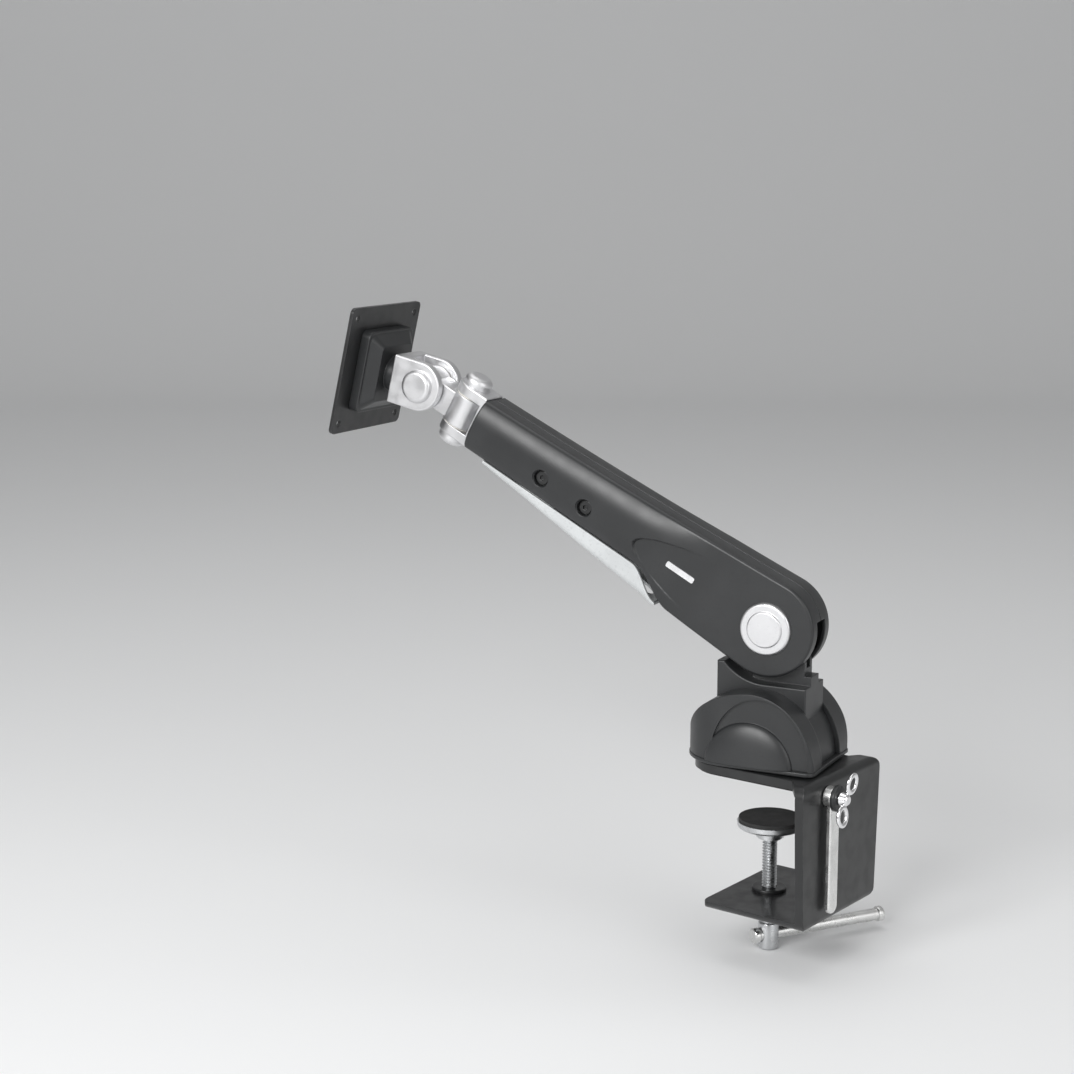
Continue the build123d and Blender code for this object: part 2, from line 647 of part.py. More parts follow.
with BuildPart() as cable_cover:
    with BuildSketch(Plane.XZ.offset(-COVER_HALF)):
        with BuildLine():
            crown = Line((230, -16.2), (102, -16.2))
            heel = Spline(crown @ 1, (74.5, -30.6), tangents=((-1, 0), (-1, -0.15)))
            toe = ThreePointArc(heel @ 1, (73.2, -32), (75.5, -33))
            keel = ThreePointArc(toe @ 1, (150, -27.2), (230, -18.6))
            Line(keel @ 1, crown @ 0)
        make_face()
    extrude(amount=2 * COVER_HALF)
    with BuildSketch(Plane.XZ.offset(-COVER_HALF + 2)):
        with BuildLine():
            Polyline((215, -15), (92, -15), (92, -28.4), (150, -24.4), (215, -17.4), close=True)
        make_face()
    extrude(amount=2 * COVER_HALF - 4, mode=Mode.SUBTRACT)
    # Windows in the floor, where the cables enter and leave.
    with BuildSketch(Plane.XY.offset(-40)):
        with Locations((97, 0), (188, 0)):
            SlotOverall(30, 14)
    extrude(amount=25, mode=Mode.SUBTRACT)

# Gas spring: x along its own axis from the crank pin's path, z square to it.
gas_tilt = math.radians(GAS_TILT_DEG)
crank_depth = CRANK_RADIUS * (1 + math.cos(math.radians(LIFT_SWING_DEG))) / 2
crank_play = CRANK_RADIUS * (1 - math.cos(math.radians(LIFT_SWING_DEG))) / 2
crank_rest = CRANK_RADIUS * math.sin(math.radians(LIFT_MIDDLE_DEG))
gas_local = Plane(
    origin=(crank_depth * math.sin(gas_tilt), 0, -crank_depth * math.cos(gas_tilt)),
    x_dir=(math.cos(gas_tilt), 0, math.sin(gas_tilt)),
    z_dir=(-math.sin(gas_tilt), 0, math.cos(gas_tilt)),
)
gas_frame = Plane(
    origin=arm_frame.from_local_coords(gas_local.origin),
    x_dir=arm_frame.from_local_coords(gas_local.origin + gas_local.x_dir)
    - arm_frame.from_local_coords(gas_local.origin),
    z_dir=arm_frame.from_local_coords(gas_local.origin + gas_local.z_dir)
    - arm_frame.from_local_coords(gas_local.origin),
)
CRANK_CLEARANCE = 0.4  # the opened pivot's play round the crank pin

with BuildPart() as gas_spring_rod:
    post(Plane.YZ, crank_rest + 4, GAS_END - 30, GAS_ROD_RADIUS)
    post(Plane.YZ, GAS_END - 38, GAS_END - 30, GAS_RADIUS - 1.5)
    with BuildSketch(Plane.XZ.offset(-TONGUE_SLOT + 0.4)):
        with Locations((crank_rest, 0)):
            SlotOverall(2 * (CRANK_PIN_RADIUS + crank_play + 3.1), 11.6, rotation=90)
    extrude(amount=2 * TONGUE_SLOT - 0.8)
    with BuildSketch(Plane.XZ.offset(-TONGUE_SLOT)):
        with Locations((crank_rest, 0)):
            SlotOverall(
                2 * (CRANK_PIN_RADIUS + crank_play + CRANK_CLEARANCE),
                2 * (CRANK_PIN_RADIUS + CRANK_CLEARANCE),
                rotation=90,
            )
    extrude(amount=2 * TONGUE_SLOT, mode=Mode.SUBTRACT)

with BuildPart() as gas_spring_cylinder:
    post(Plane.YZ, GAS_START, GAS_END, GAS_RADIUS)
    fillet(gas_spring_cylinder.edges().group_by(Axis.X)[-1], 2)
    post(Plane.YZ, GAS_START + 10, GAS_END - 6, GAS_RADIUS - 1.4, mode=Mode.SUBTRACT)
    post(Plane.YZ, GAS_START - 1, GAS_START + 11, GAS_ROD_RADIUS + RUNNING, mode=Mode.SUBTRACT)
    with BuildSketch(Plane.XZ.offset(-4)):
        with Locations((GAS_END + 6, 0)):
            Circle(6)
        with Locations((GAS_END, 0)):
            Rectangle(12, 12)
    extrude(amount=8)
    post(across(GAS_END + 6), -5, 5, 3.02, mode=Mode.SUBTRACT)

with BuildPart() as gas_spring_pin:
    post(across(GAS_END + 6), -SPAR_INNER, SPAR_INNER, 3)

with BuildPart() as end_fork:
    # Stem inside the casing
    with BuildSketch(Plane.YZ.offset(236.05)):
        with Locations((0, SWIVEL_RISE)):
            Rectangle(23, 28)
    extrude(amount=CASING_END + 0.4 - 236.05)
    # Two ears with round ends, and the web between them
    with BuildSketch(Plane.XY.offset(SWIVEL_RISE - EAR_TOP)):
        with Locations((ARM_REACH, 0)):
            Circle(FORK_RADIUS)
        with Locations(((CASING_END + 0.4 + ARM_REACH) / 2, 0)):
            Rectangle(ARM_REACH - CASING_END - 0.4, 2 * FORK_RADIUS)
    extrude(amount=2 * EAR_TOP)
    fillet(end_fork.edges().group_by(Axis.Z)[-1] + end_fork.edges().group_by(Axis.Z)[0], 1)
    with BuildSketch(Plane.XY.offset(SWIVEL_RISE - EAR_GAP)):
        with Locations((ARM_REACH, 0)):
            Rectangle(26.4, 30)
    extrude(amount=2 * EAR_GAP, mode=Mode.SUBTRACT)
    post(Plane(origin=(ARM_REACH, 0, 0)), -30, 30, PIN_RADIUS + 0.02, mode=Mode.SUBTRACT)
    with BuildSketch(Plane.YZ.offset(230)):
        with Locations((-6.5, SWIVEL_RISE), (6.5, SWIVEL_RISE)):
            Circle(2.6)
    extrude(amount=30, mode=Mode.SUBTRACT)
    with BuildSketch(Plane.YZ.offset(246)):
        with Locations((-6.5, SWIVEL_RISE), (6.5, SWIVEL_RISE)):
            Circle(4.2)
    extrude(amount=20, mode=Mode.SUBTRACT)

with BuildPart() as fork_screws:
    for side in (-1, 1):
        stem_screw = Plane(origin=(0, side * 6.5, SWIVEL_RISE), x_dir=(0, 1, 0), z_dir=(1, 0, 0))
        post(stem_screw, 224, 246.1, 2.5)
        post(stem_screw, 246.1, 250, 4)

for piece, label in (
    (arm_shell_left, "arm_shell_left"),
    (arm_shell_right, "arm_shell_right"),
    (shell_screws, "shell_screws"),
    (arm_spar, "arm_spar"),
    (lift_pivot_bolt, "lift_pivot_bolt"),
    (lift_pivot_nut, "lift_pivot_nut"),
    (pivot_cap_left, "pivot_cap_left"),
    (pivot_cap_right, "pivot_cap_right"),
    (badge, "badge"),
    (cable_cover, "cable_cover"),
    (end_fork, "end_fork"),
    (fork_screws, "fork_screws"),
):
    finish(piece, label, arm_frame)

finish(gas_spring_rod, "gas_spring_rod", gas_frame)
finish(gas_spring_cylinder, "gas_spring_cylinder", gas_frame)
finish(gas_spring_pin, "gas_spring_pin", gas_frame)

# Swivel, in the swivel frame: z is the swivel axis ----------------------------

with BuildPart() as swivel_pin:
    post(Plane.XY, -EAR_TOP + 0.2, EAR_TOP - 0.2, PIN_RADIUS)

with BuildPart() as swivel_cap_top:
    post(Plane.XY, EAR_TOP, EAR_TOP + 7.4, 10)
    fillet(swivel_cap_top.edges().group_by(Axis.Z)[-1], 4.5)

with BuildPart() as swivel_cap_bottom:
    add(swivel_cap_top.part)
    mirror(about=Plane.XY, mode=Mode.REPLACE)

with BuildPart() as swivel_washers:
    for side in (-1, 1):
        post(Plane.XY, side * 11.05, side * 11.95, 11, PIN_RADIUS + 0.1)

with BuildPart() as swivel_elbow:
    post(Plane.XY, -11, 11, BARREL_RADIUS)
    with BuildSketch(Plane.XZ.offset(-9.5)):
        with Locations((HEAD_REACH, 0)):
            Circle(12.3)
        with Locations((HEAD_REACH / 2, 0)):
            Rectangle(HEAD_REACH, 19)
    extrude(amount=19)
    fillet(swivel_elbow.edges(), EDGE / 2)
    post(Plane.XY, -15, 15, PIN_RADIUS + RUNNING, mode=Mode.SUBTRACT)
    post(across(HEAD_REACH), -15, 15, PIN_RADIUS + RUNNING, mode=Mode.SUBTRACT)

finish(swivel_pin, "swivel_pin", swivel_frame)
finish(swivel_cap_top, "swivel_cap_top", swivel_frame)
finish(swivel_cap_bottom, "swivel_cap_bottom", swivel_frame)
finish(swivel_washers, "swivel_washers", swivel_frame)
finish(swivel_elbow, "swivel_elbow", swivel_frame)

# Tilt and face, in the tilt frame: y is the tilt axis, x the face's axis -------

with BuildPart() as tilt_clevis:
    with BuildSketch(Plane.XZ.offset(-CLEVIS_HALF)):
        Circle(CLEVIS_HALF)
        with Locations((CLEVIS_FLAT / 2, 0)):
            Rectangle(CLEVIS_FLAT, 2 * CLEVIS_HALF)
    extrude(amount=2 * CLEVIS_HALF)
    with BuildSketch(Plane.XZ.offset(-CLEVIS_GAP)):
        with Locations((13.4 - 20, 0)):
            Rectangle(40, 40)
    extrude(amount=2 * CLEVIS_GAP, mode=Mode.SUBTRACT)
    fillet(tilt_clevis.edges(), EDGE)
    post(arm_side, -20, 20, PIN_RADIUS + 0.02, mode=Mode.SUBTRACT)
    post(Plane.YZ, 13, 25, 5.02, mode=Mode.SUBTRACT)

with BuildPart() as tilt_pin:
    post(arm_side, -CLEVIS_HALF + 0.1, CLEVIS_HALF - 0.1, PIN_RADIUS)

with BuildPart() as tilt_washers:
    for side in (-1, 1):
        post(arm_side, side * 9.55, side * 10.45, 11.5, PIN_RADIUS + 0.1)

with BuildPart() as tilt_cap_left:
    post(arm_side, CLEVIS_HALF, CLEVIS_HALF + 3.8, 11.5)
    fillet(tilt_cap_left.edges().group_by(Axis.Y)[-1], 3.2)

with BuildPart() as tilt_cap_right:
    add(tilt_cap_left.part)
    mirror(about=Plane.XZ, mode=Mode.REPLACE)

with BuildPart() as face_friction_washer:
    post(Plane.YZ, CLEVIS_FLAT, CLEVIS_FLAT + 0.8, 12, 5.1)

with BuildPart() as face_bolt:
    post(Plane.YZ, 14.5, 38.6, 5)
    post(Plane.YZ, 38.6, 43.4, 8.4)
    with BuildSketch(Plane.YZ.offset(43.4)):
        RegularPolygon(4, 6)
    extrude(amount=-2.8, mode=Mode.SUBTRACT)

with BuildPart() as face_spring_washer:
    post(Plane.YZ, 37.5, 38.55, 8.4, 5.1)

PLATE_SCREW_PITCH = 42
HUB_START = CLEVIS_FLAT + 0.85

with BuildPart() as face_hub:
    post(Plane.YZ, HUB_START, 31, 13)
    with BuildSketch(Plane.YZ.offset(30)):
        RectangleRounded(40, 40, 4)
    with BuildSketch(Plane.YZ.offset(37)):
        RectangleRounded(54, 54, 5)
    loft()
    with BuildSketch(Plane.YZ.offset(37)):
        RectangleRounded(58, 58, 5)
    extrude(amount=FACE_OFFSET - 37)
    fillet(face_hub.edges().filter_by(GeomType.LINE), EDGE / 2)
    post(Plane.YZ, 20, 40, 5 + RUNNING, mode=Mode.SUBTRACT)
    post(Plane.YZ, 37.4, 50, 9, mode=Mode.SUBTRACT)
    with BuildSketch(Plane.YZ.offset(36.4)):
        with GridLocations(PLATE_SCREW_PITCH, PLATE_SCREW_PITCH, 2, 2):
            Circle(2.02)
    extrude(amount=10, mode=Mode.SUBTRACT)

with BuildPart() as face_plate:
    with BuildSketch(Plane.YZ.offset(FACE_OFFSET)):
        RectangleRounded(FACE_SIZE, FACE_SIZE, 4)
        with GridLocations(VESA_PITCH, VESA_PITCH, 2, 2):
            Circle(VESA_HOLE_RADIUS, mode=Mode.SUBTRACT)
        with GridLocations(PLATE_SCREW_PITCH, PLATE_SCREW_PITCH, 2, 2):
            Circle(4.1, mode=Mode.SUBTRACT)
        Circle(9.5, mode=Mode.SUBTRACT)
    extrude(amount=FACE_THICK)

with BuildPart() as face_plate_screws:
    with BuildSketch(Plane.YZ.offset(36.6)):
        with GridLocations(PLATE_SCREW_PITCH, PLATE_SCREW_PITCH, 2, 2):
            Circle(2)
    extrude(amount=FACE_OFFSET - 36.6 + 0.2)
    with BuildSketch(Plane.YZ.offset(FACE_OFFSET + 0.05)):
        with GridLocations(PLATE_SCREW_PITCH, PLATE_SCREW_PITCH, 2, 2):
            Circle(4)
    extrude(amount=2.2)

for piece, label in (
    (tilt_clevis, "tilt_clevis"),
    (tilt_pin, "tilt_pin"),
    (tilt_washers, "tilt_washers"),
    (tilt_cap_left, "tilt_cap_left"),
    (tilt_cap_right, "tilt_cap_right"),
    (face_friction_washer, "face_friction_washer"),
    (face_bolt, "face_bolt"),
    (face_spring_washer, "face_spring_washer"),
    (face_hub, "face_hub"),
    (face_plate, "face_plate"),
    (face_plate_screws, "face_plate_screws"),
):
    finish(piece, label, tilt_frame)
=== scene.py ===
import json
import math

import bmesh
import bpy
from mathutils import Matrix, Vector


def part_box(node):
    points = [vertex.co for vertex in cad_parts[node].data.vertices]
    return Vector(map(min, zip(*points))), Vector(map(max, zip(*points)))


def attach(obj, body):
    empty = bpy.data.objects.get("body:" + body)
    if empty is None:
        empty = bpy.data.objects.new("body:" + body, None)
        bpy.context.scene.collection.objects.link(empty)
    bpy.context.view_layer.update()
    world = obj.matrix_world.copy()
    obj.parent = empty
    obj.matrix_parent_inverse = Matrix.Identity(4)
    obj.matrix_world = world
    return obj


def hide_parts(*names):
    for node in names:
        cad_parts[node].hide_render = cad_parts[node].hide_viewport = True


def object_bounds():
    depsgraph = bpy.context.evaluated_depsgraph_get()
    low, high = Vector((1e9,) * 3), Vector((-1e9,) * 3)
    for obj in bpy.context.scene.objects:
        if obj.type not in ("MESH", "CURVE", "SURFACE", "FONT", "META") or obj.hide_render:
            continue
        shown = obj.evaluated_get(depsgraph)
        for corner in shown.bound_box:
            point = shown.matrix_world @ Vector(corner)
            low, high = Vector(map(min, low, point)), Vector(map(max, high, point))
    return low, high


# A desk-clamped monitor arm, in metres and in the CAD frame. The CAD nodes keep their shapes and
# get their materials here. The arm shells, the cable cover, the clamp screw and the wing screw
# are rebuilt finer, and each stands for its CAD node.

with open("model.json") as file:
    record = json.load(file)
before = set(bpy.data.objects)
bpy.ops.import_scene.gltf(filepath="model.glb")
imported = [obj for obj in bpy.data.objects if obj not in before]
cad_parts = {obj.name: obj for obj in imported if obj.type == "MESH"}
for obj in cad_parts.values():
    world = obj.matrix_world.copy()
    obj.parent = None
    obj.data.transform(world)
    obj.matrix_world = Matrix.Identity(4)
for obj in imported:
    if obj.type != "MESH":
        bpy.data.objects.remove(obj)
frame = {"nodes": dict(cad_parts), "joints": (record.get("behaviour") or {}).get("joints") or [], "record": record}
record = frame["record"]
nodes = frame["nodes"]
joints = {joint["name"]: joint for joint in frame["joints"]}
cad_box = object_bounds()

MM = 0.001
QUARTER_TURN = math.pi / 2
FULL_TURN = 2 * math.pi
IN_PLACE = Matrix.Identity(4)


# Frames ------------------------------------------------------------------------

def frame_matrix(origin, along, up):
    """The matrix of a frame with x along, z up and y to the left."""
    left = up.cross(along)
    matrix = Matrix((along, left, up)).transposed().to_4x4()
    matrix.translation = origin
    return matrix


def joint_axis(name):
    return Vector(joints[name]["axis"]).normalized()


left_side = -joint_axis("lift")
arm_up = joint_axis("swivel")
arm_along = left_side.cross(arm_up)
arm_frame = frame_matrix(Vector(joints["lift"]["pos_m"]), arm_along, arm_up)


# Materials ----------------------------------------------------------------------

class Look:
    """Builds one procedural material round a Principled shader."""

    def __init__(self, name, color, metallic=0.0, coat=0.0, coat_roughness=0.0, soften=0.0):
        self.material = bpy.data.materials.new(name)
        self.material.use_nodes = True
        self.tree = self.material.node_tree
        self.shader = self.tree.nodes["Principled BSDF"]
        self.color = color
        self.shader.inputs["Metallic"].default_value = metallic
        if coat:
            self.shader.inputs["Coat Weight"].default_value = coat
            self.shader.inputs["Coat Roughness"].default_value = coat_roughness
        self.place = self.add("ShaderNodeTexCoord").outputs["Object"]
        self.normal = None
        if soften:
            bevel = self.add("ShaderNodeBevel", samples=8)
            bevel.inputs["Radius"].default_value = soften
            self.normal = bevel.outputs["Normal"]

    def add(self, kind, **settings):
        node = self.tree.nodes.new(kind)
        for key, value in settings.items():
            setattr(node, key, value)
        return node

    def join(self, start, end):
        self.tree.links.new(start, end)

    def noise(self, scale, detail, stretch=None):
        """A noise texture; stretch multiplies its scale along x, y and z."""
        node = self.add("ShaderNodeTexNoise")
        node.inputs["Scale"].default_value = scale
        node.inputs["Detail"].default_value = detail
        place = self.place
        if stretch:
            mapping = self.add("ShaderNodeMapping")
            mapping.inputs["Scale"].default_value = stretch
            self.join(place, mapping.inputs["Vector"])
            place = mapping.outputs["Vector"]
        self.join(place, node.inputs["Vector"])
        return node.outputs["Fac"]

    def band(self, value, low, high, to_low=0.0, to_high=1.0):
        """Eases from to_low to to_high as the value goes from low to high."""
        node = self.add("ShaderNodeMapRange", interpolation_type="SMOOTHSTEP")
        limits = {"From Min": low, "From Max": high, "To Min": to_low, "To Max": to_high}
        for socket, number in limits.items():
            node.inputs[socket].default_value = number
        self.join(value, node.inputs["Value"])
        return node.outputs["Result"]

    def product(self, one, two):
        node = self.add("ShaderNodeMath", operation="MULTIPLY")
        self.join(one, node.inputs[0])
        self.join(two, node.inputs[1])
        return node.outputs["Value"]

    def tint(self, mask, shade):
        """Mixes a shade into the base colour where the mask is high."""
        node = self.add("ShaderNodeMix", data_type="RGBA")
        if self.shader.inputs["Base Color"].is_linked:
            self.join(self.shader.inputs["Base Color"].links[0].from_socket, node.inputs["A"])
        else:
            node.inputs["A"].default_value = (*self.color, 1)
        node.inputs["B"].default_value = (*shade, 1)
        self.join(mask, node.inputs["Factor"])
        self.join(node.outputs["Result"], self.shader.inputs["Base Color"])

    def gloss(self, value, low, high):
        """Drives the roughness by a value, from low to high."""
        self.join(self.band(value, 0.3, 0.7, low, high), self.shader.inputs["Roughness"])

    def bump(self, value, height, strength):
        """Raises the surface by a value, over the bumps that are already there."""
        node = self.add("ShaderNodeBump")
        node.inputs["Distance"].default_value = height
        node.inputs["Strength"].default_value = strength
        self.join(value, node.inputs["Height"])
        if self.normal:
            self.join(self.normal, node.inputs["Normal"])
        self.normal = node.outputs["Normal"]
        self.join(self.normal, self.shader.inputs["Normal"])

    def edges(self, radius, amount):
        """A mask that is high on worn edges, broken up by noise."""
        bevel = self.add("ShaderNodeBevel", samples=6)
        bevel.inputs["Radius"].default_value = radius
        geometry = self.add("ShaderNodeNewGeometry")
        dot = self.add("ShaderNodeVectorMath", operation="DOT_PRODUCT")
        self.join(bevel.outputs["Normal"], dot.inputs[0])
        self.join(geometry.outputs["Normal"], dot.inputs[1])
        exposed = self.band(dot.outputs["Value"], 0.985, 0.8, 0.0, amount)
        return self.product(exposed, self.band(self.noise(260, 5), 0.35, 0.6))


def times(color, factor, lift=0.0):
    """A colour made lighter or darker, and held within the range of a colour."""
    return [min(1, c * factor + lift) for c in color]


def moulded(name, color, roughness):
    """Satin moulded plastic: fine spark-eroded grain, slight flow marks and rubbed edges."""
    look = Look(name, color, soften=0.0009)
    broad = look.noise(28, 3)
    grain = look.noise(2600, 3)
    look.tint(look.band(broad, 0.38, 0.72, 0, 0.22), times(color, 1.55, 0.012))
    look.tint(look.band(look.noise(520, 4), 0.52, 0.72, 0, 0.35), times(color, 0.72))
    look.gloss(look.noise(70, 5), roughness - 0.015, roughness + 0.03)
    look.bump(grain, 0.00003, 0.55)
    look.bump(look.noise(240, 2), 0.00004, 0.25)
    look.tint(look.edges(0.0006, 0.3), times(color, 2.2, 0.03))
    return look.material


def painted(name, color, roughness):
    """Satin powder coat over steel: orange peel, dust and a few worn edges."""
    look = Look(name, color, coat=0.12, coat_roughness=0.3, soften=0.0009)
    look.tint(look.band(look.noise(35, 4), 0.4, 0.7, 0, 0.45), times(color, 1.7, 0.006))
    look.gloss(look.noise(90, 5), roughness - 0.06, roughness + 0.1)
    look.bump(look.noise(950, 2), 0.00006, 0.45)
    look.bump(look.noise(2400, 2), 0.00002, 0.3)
    look.tint(look.edges(0.0007, 0.45), (0.11, 0.11, 0.115))
    return look.material


def cast(name, color, roughness):
    """Bright satin die casting: shot-blasted grain under a soft polish."""
    look = Look(name, color, metallic=1.0, soften=0.0006)
    look.tint(look.band(look.noise(60, 5), 0.4, 0.75, 0, 0.4), times(color, 0.86))
    look.tint(look.band(look.noise(900, 3), 0.55, 0.75, 0, 0.25), times(color, 0.75))
    look.gloss(look.noise(120, 5), roughness - 0.05, roughness + 0.1)
    look.bump(look.noise(1700, 3), 0.00004, 0.4)
    look.bump(look.noise(160, 2), 0.00005, 0.2)
    return look.material


def turned(name, color, roughness, stretch, depth=0.00002):
    """Machined metal: fine tool lines along one direction, and smudges."""
    look = Look(name, color, metallic=1.0)
    lines = look.noise(500, 4, stretch)
    look.tint(look.band(look.noise(80, 5), 0.45, 0.75, 0, 0.45), times(color, 0.7))
    look.tint(look.band(lines, 0.5, 0.75, 0, 0.3), times(color, 0.8))
    look.gloss(look.noise(150, 5), max(0.04, roughness - 0.08), roughness + 0.12)
    look.bump(lines, depth, 0.6)
    return look.material


def bare(name, color, roughness, scale, height):
    """A soft material with its own grain, such as rubber or nylon."""
    look = Look(name, color)
    look.tint(look.band(look.noise(45, 4), 0.4, 0.7, 0, 0.5), times(color, 1.3, 0.01))
    look.gloss(look.noise(100, 4), roughness - 0.08, min(1, roughness + 0.1))
    look.bump(look.noise(scale, 3), height, 0.6)
    return look.material


ROUND_BAR = (1, 1, 14)
ROLLED_BAR = (1, 1, 8)
NO_DIRECTION = (1, 1, 1)
looks = {
    "black_paint": painted("black_paint_look", (0.012, 0.0125, 0.013), 0.34),
    "black_plastic": moulded("black_plastic_look", (0.019, 0.02, 0.021), 0.36),
    "rubber": bare("rubber_look", (0.02, 0.02, 0.02), 0.75, 700, 0.00008),
    "zinc_steel": turned("zinc_steel_look", (0.62, 0.63, 0.64), 0.3, ROUND_BAR),
    "bright_steel": turned("bright_steel_look", (0.8, 0.8, 0.79), 0.27, ROUND_BAR),
    "chrome": turned("chrome_look", (0.88, 0.88, 0.89), 0.1, ROUND_BAR, 0.000004),
    "silver_metal": cast("silver_metal_look", (0.72, 0.72, 0.73), 0.38),
    "spar_metal": cast("spar_metal_look", (0.55, 0.55, 0.57), 0.45),
    "cover_grey": moulded("cover_grey_look", (0.5, 0.515, 0.52), 0.42),
    "badge_metal": turned("badge_metal_look", (0.85, 0.85, 0.86), 0.25, ROLLED_BAR),
    "nylon": bare("nylon_look", (0.72, 0.7, 0.65), 0.5, 900, 0.00003),
    "bronze": turned("bronze_look", (0.55, 0.38, 0.2), 0.4, NO_DIRECTION, 0.00004),
}

for part in record["subparts"]:
    mesh = nodes[part["node"]].data
    mesh.materials.clear()
    mesh.materials.append(looks[part["material_slot"]])


# Mesh helpers ---------------------------------------------------------------------

def mesh_of(name, bm):
    """Turns a bmesh into a mesh, and frees it."""
    mesh = bpy.data.meshes.new(name)
    bm.to_mesh(mesh)
    bm.free()
    return mesh


def add_object(name, data):
    made = bpy.data.objects.new(name, data)
    bpy.context.scene.collection.objects.link(made)
    return made


def settle(bm, matrix):
    """Moves a bmesh out of its local frame, and turns its faces outward."""
    bm.transform(matrix)
    bmesh.ops.recalc_face_normals(bm, faces=bm.faces)


def new_piece(name, bm, matrix, body, slot, node):
    """Turns a bmesh built in a local frame into a piece that stands for a CAD node."""
    settle(bm, matrix)
    piece = add_object(name, mesh_of(name, bm))
    piece.data.materials.append(looks[slot])
    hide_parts(node)
    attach(piece, body)
    return piece


def shade(piece, sharp_deg):
    """Shades a piece smooth, with a sharp line at each edge over an angle."""
    piece.data.shade_smooth()
    piece.data.set_sharp_from_angle(angle=math.radians(sharp_deg))


def grid(bm, rows, closed_across=False, skip=None):
    """Joins rows of points with quads. skip(row, column) leaves a face out."""
    made = [[bm.verts.new(point) for point in row] for row in rows]
    columns = len(made[0])
    last = columns if closed_across else columns - 1
    for i in range(len(made) - 1):
        for j in range(last):
            k = (j + 1) % columns
            if skip and skip(i, j):
                continue
            bm.faces.new((made[i][j], made[i][k], made[i + 1][k], made[i + 1][j]))
    return made


def tube(bm, rows):
    """Joins rings of points, from the bottom to the top, and closes both ends."""
    made = grid(bm, rows, closed_across=True)
    bm.faces.new(made[0][::-1])
    bm.faces.new(made[-1])


def turned_rows(profile, matrix, segments):
    """The rings of a turned shape: profile is (radius, height) points."""
    rows = []
    for radius, height in profile:
        ring = []
        for k in range(segments):
            turn = FULL_TURN * k / segments
            point = Vector((radius * math.cos(turn), radius * math.sin(turn), height))
            ring.append(matrix @ point)
        rows.append(ring)
    return rows


def lathe(bm, profile, matrix, segments):
    """A solid turned shape: profile is (radius, height) points from bottom to top."""
    tube(bm, turned_rows(profile, matrix, segments))


def thicken(bm, outward_way, wall):
    """Gives an open skin a wall, on the side away from the outward way."""
    bmesh.ops.recalc_face_normals(bm, faces=bm.faces)
    outermost = max(bm.faces, key=lambda face: face.calc_center_median().dot(outward_way))
    if outermost.normal.dot(outward_way) < 0:
        bmesh.ops.reverse_faces(bm, faces=bm.faces)
    bmesh.ops.solidify(bm, geom=bm.faces[:], thickness=wall)


def apply_modifiers(piece):
    """Swaps a piece's mesh for what its modifiers make of it."""
    graph = bpy.context.evaluated_depsgraph_get()
    result = bpy.data.meshes.new_from_object(piece.evaluated_get(graph))
    piece.modifiers.clear()
    old = piece.data
    piece.data = result
    bpy.data.meshes.remove(old)


def add_cutter(bm, matrix):
    """Turns a bmesh into a helper object that cut() takes away again."""
    settle(bm, matrix)
    cutter = add_object("cutter", mesh_of("cutter", bm))
    return cutter


def cut(piece, cutters):
    """Subtracts cutter meshes from a piece, and removes them."""
    for cutter in cutters:
        modifier = piece.modifiers.new("cut", "BOOLEAN")
        modifier.object = cutter
        modifier.operation = "DIFFERENCE"
        modifier.solver = "EXACT"
    apply_modifiers(piece)
    for cutter in cutters:
        bpy.data.objects.remove(cutter)


def join_to(piece, bm):
    """Adds a bmesh, already in its place, to a piece's mesh."""
    extra = mesh_of("extra", bm)
    whole = bmesh.new()
    whole.from_mesh(piece.data)
    whole.from_mesh(extra)
    whole.to_mesh(piece.data)
    whole.free()
    bpy.data.meshes.remove(extra)


# Arm shells -----------------------------------------------------------------------

# The outline, as x along the arm from the lift pivot and z over it.
CASING_END = 0.2475
CASING_HALF = 0.016
REAR_RADIUS = 0.0323
TOP_ARC = ((0.2475, 0.021), (0.1, 0.0267), (0.002, 0.03224))
BELLY_START = (0.0012, -0.03228)
BELLY_END = (0.065, -0.0299)
UNDER_START = (0.1, -0.0156)
UNDER_END = (0.2475, -0.016)
SLOPE_STEP = 0.0004

# The shell's wall, its rounded rim, the parting seam and the rim's slot for the yoke's tongue.
SHELL_WALL = 0.0022
EDGE_ROUND = 0.002
EDGE_STEPS = 6
END_ROUND = 0.0009
SEAM_HALF = 0.0004
SEAM_FLARE = 1.6
SEAM_DEPTH = 0.0009
SLOT_HALF = 0.0076
SLOT_START = math.radians(-78)
SLOT_END = math.radians(142)
RIM_COLUMNS = 3

# The face: a crown that grows toward the front, and a flat panel sunk into it.
CROWN_RISE = 0.0029
CROWN_DROP = 0.0053
CROWN_POWER = 2.6
CROWN_START = 0.04
CROWN_GROWTH = 0.07
PANEL_TIP = 0.106
PANEL_STEP = 0.0014
PANEL_CURL_ABOVE = 0.13  # how far the panel's edge runs back, in mm per square mm of height
PANEL_CURL_BELOW = 0.115
REAR_FLAT_START = 0.03
REAR_FLAT_FADE = 0.05
REAR_FLAT_END = 0.06

FACE_ROWS = 96
REAR_STEPS = 44
FRONT_STEPS = 300
SHELL_SHARP_DEG = 35

# The screw wells. Their turned profiles are (radius, height over the arm's middle plane) points.
WELL_XS = (0.148, 0.185)
WELL_Z = -0.0015
WELL_SEGMENTS = 40
WELL_HOLE = ((0.0055, 0.0126), (0.0055, 0.0171), (0.0062, 0.0178), (0.0062, 0.024))
WELL_CUP = (
    (0.0027, 0.0111),
    (0.0069, 0.0111),
    (0.0069, 0.0164),
    (0.00548, 0.0164),
    (0.00548, 0.0126),
    (0.0027, 0.0126),
)

# The window at the front end that the end fork's stem passes through.
FORK_RISE = 0.0027
STEM_HALF_WIDTH = 0.01175
STEM_HALF_HEIGHT = 0.0142


